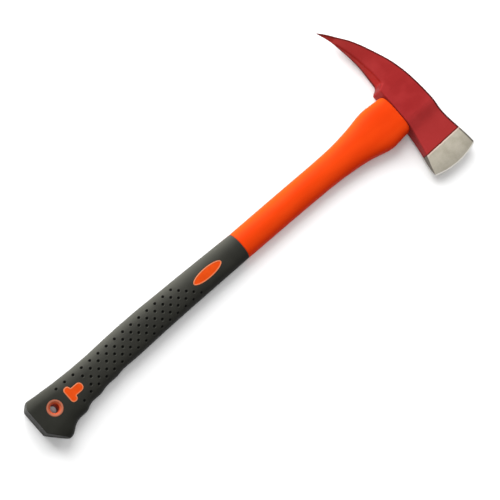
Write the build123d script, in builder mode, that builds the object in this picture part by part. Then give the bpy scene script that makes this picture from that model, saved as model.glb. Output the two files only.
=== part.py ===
from build123d import *
import math
import os

# Pick-head fire axe: a forged head bonded on a glass-fibre core, with a
# two-shot handle moulded over the core.
# Tool coordinates, in millimetres: x runs from the butt end (0) towards the
# head, y from the handle axis towards the pick, z from the mid-plane.
# The row frame lies the axe on its side: +X towards the head, +Y towards the
# pick, +Z up, with the origin under the middle of the bounding box.

# ---------------------------------------------------------------- dimensions
MID_X = 304.88  # tool x at the row origin
MID_Y = 17.55  # tool y at the row origin
HALF_T = 14.0  # half of the thickest part, so the cheeks rest at z = 0

# head
EYE_X0 = 555.0  # underside of the eye
EYE_Y = -2.5  # centre of the eye
EYE_A, EYE_B = 19.8, 9.8  # half length and half width of the eye, at the bottom
EYE_A_TOP, EYE_B_TOP = 21.2, 10.6  # the eye opens a little towards the top
EYE_CUT = 604.0  # past the top of the eye
EDGE_R = 102.5  # radius of the curved cutting edge
EDGE_CX, EDGE_CY = 577.0, 8.3  # its centre
DAM_DEPTH = 2.2  # recess for the resin dam in the eye's underside
DAM_A, DAM_B = 22.4, 11.2  # half sizes of the recess

# tenon, resin and core
TENON_A, TENON_B = 18.3, 8.4
TENON_TOP = 596.6
RESIN_TOP = 598.0
CORE_LONG, CORE_SHORT, CORE_R = 23.0, 13.0, 4.0
CORE_X0 = 39.0
CORE_Y = -0.5

# jacket under the grip
JACKET_LONG, JACKET_SHORT, JACKET_R = 28.0, 18.5, 6.0
JACKET_Y = 0.5
JACKET_X0 = 36.0
GRIP_END = 303.0

# hanging hole
HOLE_X, HOLE_Y = 24.0, -1.2
HOLE_R = 5.0
BUSH_R = 6.7
FLANGE_R = 9.25
FLANGE_T = 2.6
BUSH_HALF = 13.8  # half length over the two flanges
HOLE_HALF = 12.9  # half of the straight wall between the dished mouths

# inlays in the rubber
OVAL_X, OVAL_Y, OVAL_A, OVAL_B = 250.8, 1.0, 21.0, 6.2
T_X0, T_BAR, T_STEM_END, T_Y = 42.0, 8.1, 63.0, -1.1
T_BAR_LONG, T_STEM_WIDE = 18.8, 10.0

# upper and lower edges of the grip, seen from the side: (x, upper y, lower y)
GRIP_EDGE = [
    (0.0, 24.2, -36.4), (6.0, 23.8, -36.4), (12.0, 23.25, -36.4), (17.8, 22.6, -36.35), (20.3, 22.4, -36.2),
    (22.8, 22.2, -35.5), (25.8, 22.0, -33.7), (29.3, 21.7, -31.1), (33.0, 21.4, -28.9),
    (37.0, 21.1, -27.4), (41.0, 20.8, -26.75), (45.0, 20.6, -26.7), (48.5, 20.45, -26.65),
    (51.5, 20.3, -26.2), (54.5, 20.2, -25.0), (57.5, 20.1, -23.6), (60.5, 20.0, -22.65),
    (64.0, 19.85, -22.25), (68.0, 19.75, -22.2), (72.0, 19.7, -22.15), (75.5, 19.7, -21.85),
    (79.0, 19.7, -21.1), (82.5, 19.7, -20.2), (86.5, 19.7, -19.65), (91.0, 19.75, -19.5),
    (95.5, 19.9, -19.6), (99.5, 20.05, -19.5), (103.5, 20.2, -18.95), (107.5, 20.35, -18.25),
    (112.0, 20.5, -17.85), (117.5, 20.7, -17.8), (124.0, 20.85, -17.9), (132.0, 21.05, -17.95),
    (144.0, 21.2, -17.8), (158.0, 21.2, -17.5), (175.0, 20.9, -17.1), (195.0, 20.3, -16.85),
    (220.0, 19.7, -16.7), (248.0, 18.9, -16.7), (276.0, 18.0, -16.75), (GRIP_END, 17.1, -16.85),
]
# upper and lower edges of the orange neck and shoulder
NECK_EDGE = [
    (GRIP_END, 17.1, -16.85), (325.0, 17.05, -17.1), (350.0, 17.0, -17.3), (378.0, 16.9, -17.6),
    (405.0, 16.75, -18.05), (428.0, 16.6, -18.6), (448.0, 16.7, -19.5), (465.0, 17.2, -20.8),
    (480.0, 18.4, -22.4), (493.0, 19.9, -24.4), (504.0, 21.6, -26.8), (513.0, 23.2, -29.1),
    (520.5, 24.25, -30.8), (528.0, 24.6, -31.4), (536.0, 24.1, -30.8), (544.0, 23.5, -29.9),
    (EYE_X0, 23.0, -29.3),
]
# half thickness and roundness of the section along the handle: (x, half, power)
SECTION = [
    (0.0, 14.85, 2.85), (20.0, 14.8, 2.8), (32.0, 14.6, 2.75), (45.0, 14.2, 2.65), (65.0, 13.7, 2.5),
    (100.0, 13.4, 2.4), (150.0, 13.3, 2.35), (200.0, 13.0, 2.3), (250.0, 12.45, 2.2),
    (303.0, 11.5, 2.15), (340.0, 11.2, 2.1), (400.0, 11.0, 2.1), (440.0, 11.2, 2.15),
    (480.0, 12.0, 2.4), (515.0, 12.8, 2.8), (530.0, 13.1, 3.0), (555.0, 12.9, 3.4),
]
# y of the crest of the section, where it is thickest
CREST = [(0.0, 0.0), (60.0, 0.4), (150.0, 1.5), (303.0, 0.4), (440.0, -0.6), (530.0, -2.7), (555.0, -2.75)]

# side outline of the head: top edge from the pick's tip to the bit's corner
TOP_EDGE = [
    (547.6, 129.1), (553.6, 123.0), (562.4, 112.0), (570.2, 100.4), (576.5, 88.7), (581.7, 77.0),
    (586.3, 65.3), (590.2, 53.6), (593.4, 41.9), (596.0, 29.0), (598.0, 15.0), (599.4, 1.0),
    (600.0, -13.0), (600.2, -27.0), (601.0, -40.0), (602.7, -52.0), (605.0, -64.0),
    (607.5, -76.0), (609.6, -86.0),
]
TOE_MID, TOE_END = (609.58, -87.9), (608.3, -89.3)
HEEL_END, HEEL_MID = (545.2, -89.14), (543.7, -88.02)
# lower edge of the blade from the bit's heel to the eye
HEEL_EDGE = [(543.3, -86.2), (544.6, -78.5), (547.0, -69.5), (549.6, -60.0), (551.8, -50.0), (553.6, -40.0), (555.0, -31.0)]
# lower edge of the pick from the lug to the tip
PICK_EDGE = [(563.2, 40.0), (563.4, 50.0), (563.1, 60.0), (562.2, 71.2), (560.4, 82.8), (558.0, 94.5), (555.1, 106.2), (551.4, 117.8), (547.0, 128.6)]
# half thickness of the cheeks seen along the head: (x, half)
CHEEK = [(530.0, 12.3), (559.0, 14.0), (594.5, 14.0), (620.0, 12.6)]
# half thickness of the head seen along the handle: (y, half)
PICK_HALF = [(24.0, 14.0), (31.0, 13.5), (38.0, 12.8), (48.0, 12.0), (60.0, 10.95), (71.0, 9.95), (83.0, 8.85), (94.5, 7.65), (106.0, 6.3), (118.0, 4.4), (126.0, 2.5), (131.0, 0.8)]
BLADE_HALF = [(-16.0, 14.0), (-20.0, 13.45), (-25.0, 12.0), (-29.5, 10.5), (-33.5, 9.5), (-39.5, 8.7), (-46.0, 8.05), (-53.0, 7.45), (-60.0, 6.95), (-70.0, 6.3), (-82.0, 5.7), (-97.0, 5.0)]
# half thickness of the ground bit behind the cutting edge: (distance, half)
BIT_HALF = [(1.5, 0.95), (4.0, 1.95), (7.0, 2.95), (12.0, 4.2), (19.0, 5.45), (28.0, 6.7), (40.0, 8.1)]

# stations along the grip, closer together in the scallops
GRIP_STATIONS = [0.0, 6.0, 12.0] + [16.0 + 3.0 * k for k in range(35)] + [126.0 + 8.0 * k for k in range(22)] + [GRIP_END]
# facets that cut the butt's corners, seen from the side
BUTT_TOP = [(-2.0, 14.62), (-2.0, 40.0), (21.2, 40.0)]
BUTT_LOW = [(-3.0, -12.3), (-3.0, -46.6), (26.57, -46.6)]
BUTT_ROUND = 1.2

os.makedirs("parts", exist_ok=True)


# ------------------------------------------------------------------- helpers
def table(rows, x, column=1):
    """Monotone cubic value of one column of a table at x."""
    xs = [r[0] for r in rows]
    ys = [r[column] for r in rows]
    if x <= xs[0]:
        return ys[0]
    if x >= xs[-1]:
        return ys[-1]
    n = len(xs)
    h = [xs[i + 1] - xs[i] for i in range(n - 1)]
    d = [(ys[i + 1] - ys[i]) / h[i] for i in range(n - 1)]
    m = [d[0]] + [0.0] * (n - 2) + [d[-1]]
    for i in range(1, n - 1):
        if d[i - 1] * d[i] > 0:
            w1, w2 = 2 * h[i] + h[i - 1], h[i] + 2 * h[i - 1]
            m[i] = (w1 + w2) / (w1 / d[i - 1] + w2 / d[i])
    i = max(k for k in range(n - 1) if xs[k] <= x)
    t = (x - xs[i]) / h[i]
    return (
        (1 + 2 * t) * (1 - t) ** 2 * ys[i]
        + t * (1 - t) ** 2 * h[i] * m[i]
        + t * t * (3 - 2 * t) * ys[i + 1]
        + t * t * (t - 1) * h[i] * m[i + 1]
    )


def row(x, y):
    """Tool x, y in the row frame."""
    return (x - MID_X, y - MID_Y)


def station(x):
    """The plane across the handle at tool x."""
    return Plane.YZ.offset(x - MID_X)


def section_points(x, upper, lower, count=32):
    """Points round the handle's section at x, for a sketch on a YZ plane."""
    half, power = table(SECTION, x, 1), table(SECTION, x, 2)
    crest = table(CREST, x)
    points = []
    for k in range(count):
        a = 2 * math.pi * k / count
        c, s = math.cos(a), math.sin(a)
        r = (abs(c) ** power + abs(s) ** power) ** (-1 / power)
        reach = (upper - crest) if c > 0 else (crest - lower)
        points.append((crest + reach * r * c - MID_Y, half * r * s + HALF_T))
    return points


# ------------------------------------------------------------------ the head
cx, cy = row(EDGE_CX, EDGE_CY)
with BuildPart() as axe_head:
    # side outline, full thickness
    with BuildSketch(Plane.XY):
        with BuildLine():
            top = Spline(*[row(*p) for p in TOP_EDGE])
            toe = ThreePointArc(row(*TOP_EDGE[-1]), row(*TOE_MID), row(*TOE_END))
            edge = ThreePointArc(row(*TOE_END), row(EDGE_CX, EDGE_CY - EDGE_R), row(*HEEL_END))
            heel = ThreePointArc(row(*HEEL_END), row(*HEEL_MID), row(*HEEL_EDGE[0]))
            chin = Spline(*[row(*p) for p in HEEL_EDGE])
            under = Line(row(*HEEL_EDGE[-1]), row(EYE_X0, 28.6))
            lug = ThreePointArc(row(EYE_X0, 28.6), row(555.75, 30.6), row(557.6, 31.9))
            slope = Line(row(557.6, 31.9), row(560.6, 33.4))
            root = ThreePointArc(row(560.6, 33.4), row(562.5, 35.9), row(*PICK_EDGE[0]))
            pick = Spline(*[row(*p) for p in PICK_EDGE])
            tip = ThreePointArc(row(*PICK_EDGE[-1]), row(546.95, 129.15), row(*TOP_EDGE[0]))
        make_face()
    extrude(amount=2 * HALF_T)
    # plan outline: flat cheeks round the eye, tapering to the point and the bit
    with BuildSketch(station(530)):
        with BuildLine():
            u1 = Spline(*[(y - MID_Y, HALF_T + h) for y, h in PICK_HALF], tangents=[(1, -0.06), (1, -0.38)])
            n1 = Line((PICK_HALF[-1][0] - MID_Y, HALF_T + PICK_HALF[-1][1]), (PICK_HALF[-1][0] - MID_Y, HALF_T - PICK_HALF[-1][1]))
            l1 = Spline(*[(y - MID_Y, HALF_T - h) for y, h in PICK_HALF], tangents=[(1, 0.06), (1, 0.38)])
            c1 = Line((PICK_HALF[0][0] - MID_Y, 0), (BLADE_HALF[0][0] - MID_Y, 0))
            l2 = Spline(*[(y - MID_Y, HALF_T - h) for y, h in BLADE_HALF], tangents=[(-1, 0.06), (-1, 0.05)])
            n2 = Line((BLADE_HALF[-1][0] - MID_Y, HALF_T - BLADE_HALF[-1][1]), (BLADE_HALF[-1][0] - MID_Y, HALF_T + BLADE_HALF[-1][1]))
            u2 = Spline(*[(y - MID_Y, HALF_T + h) for y, h in BLADE_HALF], tangents=[(-1, -0.06), (-1, -0.05)])
            c2 = Line((BLADE_HALF[0][0] - MID_Y, 2 * HALF_T), (PICK_HALF[0][0] - MID_Y, 2 * HALF_T))
        make_face()
    extrude(amount=100, mode=Mode.INTERSECT)
    # the cheeks are flat over a rectangle round the eye and fall away to its ends
    with BuildSketch(Plane.XZ.offset(-200)):
        with BuildLine():
            Polyline(*[(x - MID_X, HALF_T + h) for x, h in CHEEK], *[(x - MID_X, HALF_T - h) for x, h in reversed(CHEEK)], close=True)
        make_face()
    extrude(amount=400, mode=Mode.INTERSECT)
    # ground bit: two convex bevels round the centre of the curved edge
    for side in (1, -1):
        with BuildSketch(Plane(origin=(cx, cy, HALF_T), x_dir=(-math.sqrt(3) / 2, -0.5, 0), z_dir=(-0.5, math.sqrt(3) / 2, 0))):
            with BuildLine():
                d0, h0 = BIT_HALF[0]
                d1, h1 = BIT_HALF[-1]
                grind = Spline(*[(EDGE_R - d, side * h) for d, h in BIT_HALF])
                Polyline(
                    (EDGE_R - d0, side * h0),
                    (EDGE_R + 1.0, side * 0.3),
                    (EDGE_R + 12, side * 0.3),
                    (EDGE_R + 12, side * 20),
                    (EDGE_R - d1, side * 20),
                    (EDGE_R - d1, side * h1),
                )
            make_face()
        revolve(axis=Axis((cx, cy, 0), (0, 0, 1)), revolution_arc=120, mode=Mode.SUBTRACT)
    # the eye, a little wider at the top, and the recess for the resin dam
    with BuildSketch(station(EYE_X0 - 1)):
        with Locations((EYE_Y - MID_Y, HALF_T)):
            SlotOverall(2 * EYE_A, 2 * EYE_B)
    with BuildSketch(station(EYE_CUT)):
        with Locations((EYE_Y - MID_Y, HALF_T)):
            SlotOverall(2 * EYE_A_TOP, 2 * EYE_B_TOP)
    loft(mode=Mode.SUBTRACT)
    with BuildSketch(station(EYE_X0 - 1)):
        with Locations((EYE_Y - MID_Y, HALF_T)):
            SlotOverall(2 * DAM_A, 2 * DAM_B)
    extrude(amount=1 + DAM_DEPTH, mode=Mode.SUBTRACT)
axe_head.part.label = "axe_head"

# the eye's own volume, which the tenon and the resin share
with BuildPart() as eye_space:
    with BuildSketch(station(EYE_X0 - 1)):
        with Locations((EYE_Y - MID_Y, HALF_T)):
            SlotOverall(2 * EYE_A, 2 * EYE_B)
    with BuildSketch(station(EYE_CUT)):
        with Locations((EYE_Y - MID_Y, HALF_T)):
            SlotOverall(2 * EYE_A_TOP, 2 * EYE_B_TOP)
    loft()

# -------------------------------------------------------- core, resin and dam
with BuildPart() as handle_core:
    with BuildSketch(station(CORE_X0)):
        with Locations((CORE_Y - MID_Y, HALF_T)):
            RectangleRounded(CORE_LONG, CORE_SHORT, CORE_R)
    extrude(amount=TENON_TOP - CORE_X0)
handle_core.part.label = "handle_core"

with BuildPart() as eye_resin:
    with BuildSketch(station(EYE_X0 + DAM_DEPTH)):
        with Locations((EYE_Y - MID_Y, HALF_T)):
            SlotOverall(2 * DAM_A, 2 * DAM_B)
    extrude(amount=RESIN_TOP - EYE_X0 - DAM_DEPTH)
    add(eye_space.part, mode=Mode.INTERSECT)
    with BuildSketch(station(EYE_X0)):
        with Locations((EYE_Y - MID_Y, HALF_T)):
            SlotOverall(2 * TENON_A, 2 * TENON_B)
    extrude(amount=TENON_TOP - EYE_X0, mode=Mode.SUBTRACT)
eye_resin.part.label = "eye_resin"

with BuildPart() as eye_dam_seal:
    with BuildSketch(station(EYE_X0)):
        with Locations((EYE_Y - MID_Y, HALF_T)):
            SlotOverall(2 * DAM_A, 2 * DAM_B)
            SlotOverall(2 * TENON_A, 2 * TENON_B, mode=Mode.SUBTRACT)
    extrude(amount=DAM_DEPTH)
eye_dam_seal.part.label = "eye_dam_seal"

# ---------------------------------------------------------------- the jacket
with BuildPart() as handle_jacket:
    # neck and shoulder
    for x, upper, lower in NECK_EDGE:
        with BuildSketch(station(x)):
            with BuildLine():
                Spline(*section_points(x, upper, lower), periodic=True)
            make_face()
    loft()
    # tenon in the eye
    with BuildSketch(station(EYE_X0)):
        with Locations((EYE_Y - MID_Y, HALF_T)):
            SlotOverall(2 * TENON_A, 2 * TENON_B)
    extrude(amount=TENON_TOP - EYE_X0)
    # sleeve under the grip
    with BuildSketch(station(JACKET_X0)):
        with Locations((JACKET_Y - MID_Y, HALF_T)):
            RectangleRounded(JACKET_LONG, JACKET_SHORT, JACKET_R)
    extrude(amount=GRIP_END - JACKET_X0)
    # bore for the core
    with BuildSketch(station(CORE_X0)):
        with Locations((CORE_Y - MID_Y, HALF_T)):
            RectangleRounded(CORE_LONG, CORE_SHORT, CORE_R)
    extrude(amount=TENON_TOP - CORE_X0, mode=Mode.SUBTRACT)
handle_jacket.part.label = "handle_jacket"

# ------------------------------------------------------------- hanging hole
with BuildPart() as hang_hole_bush:
    with BuildSketch(Plane(origin=(*row(HOLE_X, HOLE_Y), HALF_T), x_dir=(1, 0, 0), z_dir=(0, -1, 0))):
        with BuildLine():
            Polyline(
                (HOLE_R, -HOLE_HALF),
                (HOLE_R + 0.8, -BUSH_HALF + 0.35),
                (FLANGE_R - 1.4, -BUSH_HALF),
                (FLANGE_R - 0.5, -BUSH_HALF),
                (FLANGE_R, -BUSH_HALF + 0.5),
                (FLANGE_R, -BUSH_HALF + FLANGE_T),
                (BUSH_R, -BUSH_HALF + FLANGE_T),
                (BUSH_R, BUSH_HALF - FLANGE_T),
                (FLANGE_R, BUSH_HALF - FLANGE_T),
                (FLANGE_R, BUSH_HALF - 0.5),
                (FLANGE_R - 0.5, BUSH_HALF),
                (FLANGE_R - 1.4, BUSH_HALF),
                (HOLE_R + 0.8, BUSH_HALF - 0.35),
                (HOLE_R, HOLE_HALF),
                close=True,
            )
        make_face()
    revolve(axis=Axis((*row(HOLE_X, HOLE_Y), 0), (0, 0, 1)))
hang_hole_bush.part.label = "hang_hole_bush"

# ------------------------------------------------- outer form of the rubber
with BuildPart() as grip_form:
    for x in GRIP_STATIONS:
        with BuildSketch(station(x)):
            with BuildLine():
                Spline(*section_points(x, table(GRIP_EDGE, x, 1), table(GRIP_EDGE, x, 2)), periodic=True)
            make_face()
    loft(ruled=True)
    # flat sides at the butt
    with BuildSketch(Plane.XY):
        Rectangle(2000, 400)
    extrude(amount=2 * HALF_T, mode=Mode.INTERSECT)
    # the butt's two cut corners
    with BuildSketch(Plane.XY.offset(-5)):
        with BuildLine():
            Polyline(*[row(*p) for p in BUTT_TOP], close=True)
        make_face()
        with BuildLine():
            Polyline(*[row(*p) for p in BUTT_LOW], close=True)
        make_face()
    extrude(amount=2 * HALF_T + 10, mode=Mode.SUBTRACT)
    # soft edges round the end facets
    rim = []
    for facet in grip_form.faces().filter_by(GeomType.PLANE):
        if facet.normal_at().X < -0.3:
            for side in facet.edges():
                if not any(side.is_same(other) for other in rim):
                    rim.append(side)
    fillet(rim, radius=BUTT_ROUND)

# ------------------------------------------------------------------- inlays
ox, oy = row(OVAL_X, OVAL_Y)
with BuildPart() as oval_inlay_front:
    with BuildSketch(Plane.XY.offset(HALF_T + JACKET_SHORT / 2)):
        with Locations((ox, oy)):
            Ellipse(OVAL_A, OVAL_B)
    extrude(amount=8)
    add(grip_form.part, mode=Mode.INTERSECT)
oval_inlay_front.part.label = "oval_inlay_front"

with BuildPart() as oval_inlay_back:
    add(oval_inlay_front.part)
    mirror(about=Plane.XY.offset(HALF_T), mode=Mode.REPLACE)
oval_inlay_back.part.label = "oval_inlay_back"

tx, ty = row(T_X0, T_Y)
stem = T_STEM_END - T_X0 - 2
with BuildPart() as t_inlay_front:
    with BuildSketch(Plane.XY.offset(HALF_T + JACKET_SHORT / 2)):
        with Locations((tx + T_BAR / 2, ty)):
            RectangleRounded(T_BAR, T_BAR_LONG, 3.8)
        with Locations((tx + 2 + stem / 2, ty)):
            RectangleRounded(stem, T_STEM_WIDE, 4.8)
    extrude(amount=8)
    add(grip_form.part, mode=Mode.INTERSECT)
t_inlay_front.part.label = "t_inlay_front"

with BuildPart() as t_inlay_back:
    add(t_inlay_front.part)
    mirror(about=Plane.XY.offset(HALF_T), mode=Mode.REPLACE)
t_inlay_back.part.label = "t_inlay_back"

# -------------------------------------------------------------- rubber grip
with BuildPart() as rubber_grip:
    add(grip_form.part)
    # bore for the jacket's sleeve
    with BuildSketch(station(JACKET_X0)):
        with Locations((JACKET_Y - MID_Y, HALF_T)):
            RectangleRounded(JACKET_LONG, JACKET_SHORT, JACKET_R)
    extrude(amount=GRIP_END - JACKET_X0 + 1, mode=Mode.SUBTRACT)
    # hole for the bush, with seats for its flanges
    with BuildSketch(Plane.XY.offset(-1)):
        with Locations(row(HOLE_X, HOLE_Y)):
            Circle(BUSH_R)
    extrude(amount=2 * HALF_T + 2, mode=Mode.SUBTRACT)
    with BuildSketch(Plane.XY.offset(-1)):
        with Locations(row(HOLE_X, HOLE_Y)):
            Circle(FLANGE_R)
    extrude(amount=1 + HALF_T - BUSH_HALF + FLANGE_T, mode=Mode.SUBTRACT)
    with BuildSketch(Plane.XY.offset(HALF_T + BUSH_HALF - FLANGE_T)):
        with Locations(row(HOLE_X, HOLE_Y)):
            Circle(FLANGE_R)
    extrude(amount=5, mode=Mode.SUBTRACT)
    # windows for the inlays on both sides
    for z0, up in ((HALF_T + JACKET_SHORT / 2, 8), (HALF_T - JACKET_SHORT / 2, -8)):
        with BuildSketch(Plane.XY.offset(z0)):
            with Locations((ox, oy)):
                Ellipse(OVAL_A, OVAL_B)
            with Locations((tx + T_BAR / 2, ty)):
                RectangleRounded(T_BAR, T_BAR_LONG, 3.8)
            with Locations((tx + 2 + stem / 2, ty)):
                RectangleRounded(stem, T_STEM_WIDE, 4.8)
        extrude(amount=up, mode=Mode.SUBTRACT)
rubber_grip.part.label = "rubber_grip"

# ------------------------------------------------------------------- export
export_step(axe_head.part, "parts/axe_head.step")
export_step(eye_resin.part, "parts/eye_resin.step")
export_step(eye_dam_seal.part, "parts/eye_dam_seal.step")
export_step(handle_core.part, "parts/handle_core.step")
export_step(handle_jacket.part, "parts/handle_jacket.step")
export_step(rubber_grip.part, "parts/rubber_grip.step")
export_step(hang_hole_bush.part, "parts/hang_hole_bush.step")
export_step(oval_inlay_front.part, "parts/oval_inlay_front.step")
export_step(oval_inlay_back.part, "parts/oval_inlay_back.step")
export_step(t_inlay_front.part, "parts/t_inlay_front.step")
export_step(t_inlay_back.part, "parts/t_inlay_back.step")
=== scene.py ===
import math

import bmesh
import bpy
import numpy as np
from mathutils import Matrix, Vector
from mathutils.kdtree import KDTree


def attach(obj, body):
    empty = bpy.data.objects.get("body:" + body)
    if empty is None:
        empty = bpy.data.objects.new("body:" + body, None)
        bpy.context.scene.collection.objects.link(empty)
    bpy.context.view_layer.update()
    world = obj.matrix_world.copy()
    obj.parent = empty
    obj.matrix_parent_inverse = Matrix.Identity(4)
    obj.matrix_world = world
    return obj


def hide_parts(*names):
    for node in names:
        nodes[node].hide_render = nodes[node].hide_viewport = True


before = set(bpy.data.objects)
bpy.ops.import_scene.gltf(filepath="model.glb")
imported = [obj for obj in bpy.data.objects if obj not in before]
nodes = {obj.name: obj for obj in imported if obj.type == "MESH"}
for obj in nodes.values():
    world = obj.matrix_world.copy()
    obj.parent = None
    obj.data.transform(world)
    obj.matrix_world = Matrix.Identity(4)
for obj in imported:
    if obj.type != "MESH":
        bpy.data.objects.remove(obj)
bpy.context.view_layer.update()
scene = bpy.context.scene

# Work is in millimetres in tool coordinates: x from the butt to the head, y from
# the handle axis to the pick, z from the middle plane. put() turns them into metres
# in the row frame.
MID_X, MID_Y, HALF_T = 304.88, 17.55, 14.0
GRIP_END = 303.0
EYE_X0 = 555.0

# ------------------------------------------------------------------ tables
GRIP_EDGE = [
    (0.0, 24.2, -36.4), (6.0, 23.8, -36.4), (12.0, 23.25, -36.4), (17.8, 22.6, -36.35), (20.3, 22.4, -36.2),
    (22.8, 22.2, -35.5), (25.8, 22.0, -33.7), (29.3, 21.7, -31.1), (33.0, 21.4, -28.9),
    (37.0, 21.1, -27.4), (41.0, 20.8, -26.75), (45.0, 20.6, -26.7), (48.5, 20.45, -26.65),
    (51.5, 20.3, -26.2), (54.5, 20.2, -25.0), (57.5, 20.1, -23.6), (60.5, 20.0, -22.65),
    (64.0, 19.85, -22.25), (68.0, 19.75, -22.2), (72.0, 19.7, -22.15), (75.5, 19.7, -21.85),
    (79.0, 19.7, -21.1), (82.5, 19.7, -20.2), (86.5, 19.7, -19.65), (91.0, 19.75, -19.5),
    (95.5, 19.9, -19.6), (99.5, 20.05, -19.5), (103.5, 20.2, -18.95), (107.5, 20.35, -18.25),
    (112.0, 20.5, -17.85), (117.5, 20.7, -17.8), (124.0, 20.85, -17.9), (132.0, 21.05, -17.95),
    (144.0, 21.2, -17.8), (158.0, 21.2, -17.5), (175.0, 20.9, -17.1), (195.0, 20.3, -16.85),
    (220.0, 19.7, -16.7), (248.0, 18.9, -16.7), (276.0, 18.0, -16.75), (GRIP_END, 17.1, -16.85),
]
NECK_EDGE = [
    (GRIP_END, 17.1, -16.85), (325.0, 17.05, -17.1), (350.0, 17.0, -17.3), (378.0, 16.9, -17.6),
    (405.0, 16.75, -18.05), (428.0, 16.6, -18.6), (448.0, 16.7, -19.5), (465.0, 17.2, -20.8),
    (480.0, 18.4, -22.4), (493.0, 19.9, -24.4), (504.0, 21.6, -26.8), (513.0, 23.2, -29.1),
    (520.5, 24.25, -30.8), (528.0, 24.6, -31.4), (536.0, 24.1, -30.8), (544.0, 23.5, -29.9),
    (EYE_X0, 23.0, -29.3),
]
SECTION = [
    (0.0, 14.85, 2.85), (20.0, 14.8, 2.8), (32.0, 14.6, 2.75), (45.0, 14.2, 2.65), (65.0, 13.7, 2.5),
    (100.0, 13.4, 2.4), (150.0, 13.3, 2.35), (200.0, 13.0, 2.3), (250.0, 12.45, 2.2),
    (303.0, 11.5, 2.15), (340.0, 11.2, 2.1), (400.0, 11.0, 2.1), (440.0, 11.2, 2.15),
    (480.0, 12.0, 2.4), (515.0, 12.8, 2.8), (530.0, 13.1, 3.0), (555.0, 12.9, 3.4),
]
CREST = [(0.0, 0.0), (60.0, 0.4), (150.0, 1.5), (303.0, 0.4), (440.0, -0.6), (530.0, -2.7), (555.0, -2.75)]
TOP_EDGE = [
    (547.6, 129.1), (553.6, 123.0), (562.4, 112.0), (570.2, 100.4), (576.5, 88.7), (581.7, 77.0),
    (586.3, 65.3), (590.2, 53.6), (593.4, 41.9), (596.0, 29.0), (598.0, 15.0), (599.4, 1.0),
    (600.0, -13.0), (600.2, -27.0), (601.0, -40.0), (602.7, -52.0), (605.0, -64.0),
    (607.5, -76.0), (609.6, -86.0),
]
HEEL_EDGE = [(543.3, -86.2), (544.6, -78.5), (547.0, -69.5), (549.6, -60.0), (551.8, -50.0), (553.6, -40.0), (555.0, -31.0)]
PICK_EDGE = [(563.2, 40.0), (563.4, 50.0), (563.1, 60.0), (562.2, 71.2), (560.4, 82.8), (558.0, 94.5), (555.1, 106.2), (551.4, 117.8), (547.0, 128.6)]
PICK_HALF = [(24.0, 14.0), (31.0, 13.5), (38.0, 12.8), (48.0, 12.0), (60.0, 10.95), (71.0, 9.95), (83.0, 8.85), (94.5, 7.65), (106.0, 6.3), (118.0, 4.4), (126.0, 2.5), (131.0, 0.8)]
BLADE_HALF = [(-16.0, 14.0), (-20.0, 13.45), (-25.0, 12.0), (-29.5, 10.5), (-33.5, 9.5), (-39.5, 8.7), (-46.0, 8.05), (-53.0, 7.45), (-60.0, 6.95), (-70.0, 6.3), (-82.0, 5.7), (-97.0, 5.0)]
BIT_HALF = [(1.5, 0.95), (4.0, 1.95), (7.0, 2.95), (12.0, 4.2), (19.0, 5.45), (28.0, 6.7), (40.0, 8.1)]
EDGE_R, EDGE_CX, EDGE_CY = 102.5, 577.0, 8.3
EYE_Y = -2.5
OVAL_X, OVAL_Y, OVAL_A, OVAL_B = 250.8, 1.0, 21.0, 6.2
T_X0, T_BAR, T_STEM_END, T_Y = 42.0, 8.1, 63.0, -1.1
T_BAR_LONG, T_STEM_WIDE = 18.8, 10.0
# butt facets, as normal and distance: the end, the top corner and the low corner
BUTT_PLANES = [(-1.0, 0.0, 0.0), (-0.7381, 0.6747, 11.3403), (-0.7574, -0.65295, 10.3035)]


# ----------------------------------------------------------------- helpers
def cubic(rows, x, column=1):
    """Monotone cubic through one column of a table, at every x."""
    rows = np.array([list(r) for r in rows], float)
    xs, ys = rows[:, 0], rows[:, column]
    h = np.diff(xs)
    d = np.diff(ys) / h
    m = np.zeros(len(xs))
    m[0], m[-1] = d[0], d[-1]
    for i in range(1, len(xs) - 1):
        if d[i - 1] * d[i] > 0:
            w1, w2 = 2 * h[i] + h[i - 1], h[i] + 2 * h[i - 1]
            m[i] = (w1 + w2) / (w1 / d[i - 1] + w2 / d[i])
    x = np.clip(np.asarray(x, float), xs[0], xs[-1])
    i = np.clip(np.searchsorted(xs, x, side="right") - 1, 0, len(xs) - 2)
    t = (x - xs[i]) / h[i]
    return (
        (1 + 2 * t) * (1 - t) ** 2 * ys[i]
        + t * (1 - t) ** 2 * h[i] * m[i]
        + t * t * (3 - 2 * t) * ys[i + 1]
        + t * t * (t - 1) * h[i] * m[i + 1]
    )


def soft_min(a, b, k):
    """The smaller of a and b, with the corner between them rounded over a width k."""
    h = np.clip(0.5 + 0.5 * (b - a) / k, 0, 1)
    return b * (1 - h) + a * h - k * h * (1 - h)


def smooth(t):
    t = np.clip(t, 0, 1)
    return t * t * (3 - 2 * t)


def put(name, verts, faces, replaces=(), slot=None, material=None, sharp=35.0, marks=None):
    """A mesh object from millimetre points, riding on the axe's body."""
    v = np.array(verts, float)
    v = np.stack([(v[:, 0] - MID_X), (v[:, 1] - MID_Y), (v[:, 2] + HALF_T)], 1) / 1000
    me = bpy.data.meshes.new(name)
    me.from_pydata(v.tolist(), [], faces)
    me.validate()
    for key, values in (marks or {}).items():
        me.attributes.new(key, "FLOAT", "POINT").data.foreach_set("value", np.array(values, np.float32))
    o = bpy.data.objects.new(name, me)
    scene.collection.objects.link(o)
    fix(o, sharp)
    if replaces is not None:
        dress(o, replaces, slot, material)
    return o


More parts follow.
